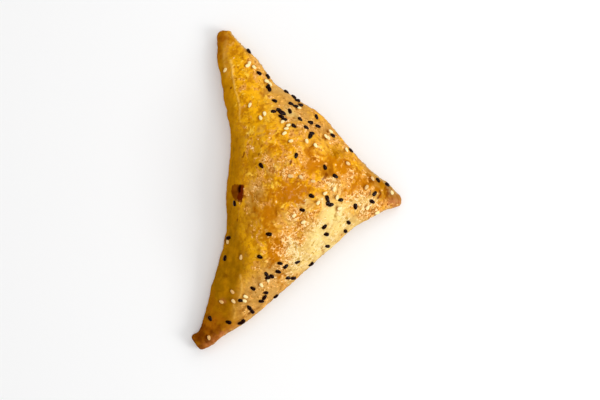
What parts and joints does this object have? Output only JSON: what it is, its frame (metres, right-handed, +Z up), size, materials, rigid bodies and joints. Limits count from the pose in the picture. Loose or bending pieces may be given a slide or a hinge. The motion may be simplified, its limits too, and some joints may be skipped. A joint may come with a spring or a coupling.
{
  "type": "cheese pastry puff",
  "caption": "Triangular puff pastry folded corner to corner over a cheese filling, with a domed middle, pinched seams on the short sides and blunt pressed corners.",
  "frame": {"origin": "on the flat underside, under the middle of the outline's box", "axes": "+Z up from the underside to the crown; +Y along the folded long side; +X from the fold to the square corner"},
  "size_m": [0.1116, 0.1804, 0.034],
  "materials": {
    "baked_pastry": "satin"
  },
  "bodies": {
    "root": {"pastry": "baked_pastry"}
  },
  "joints": []
}
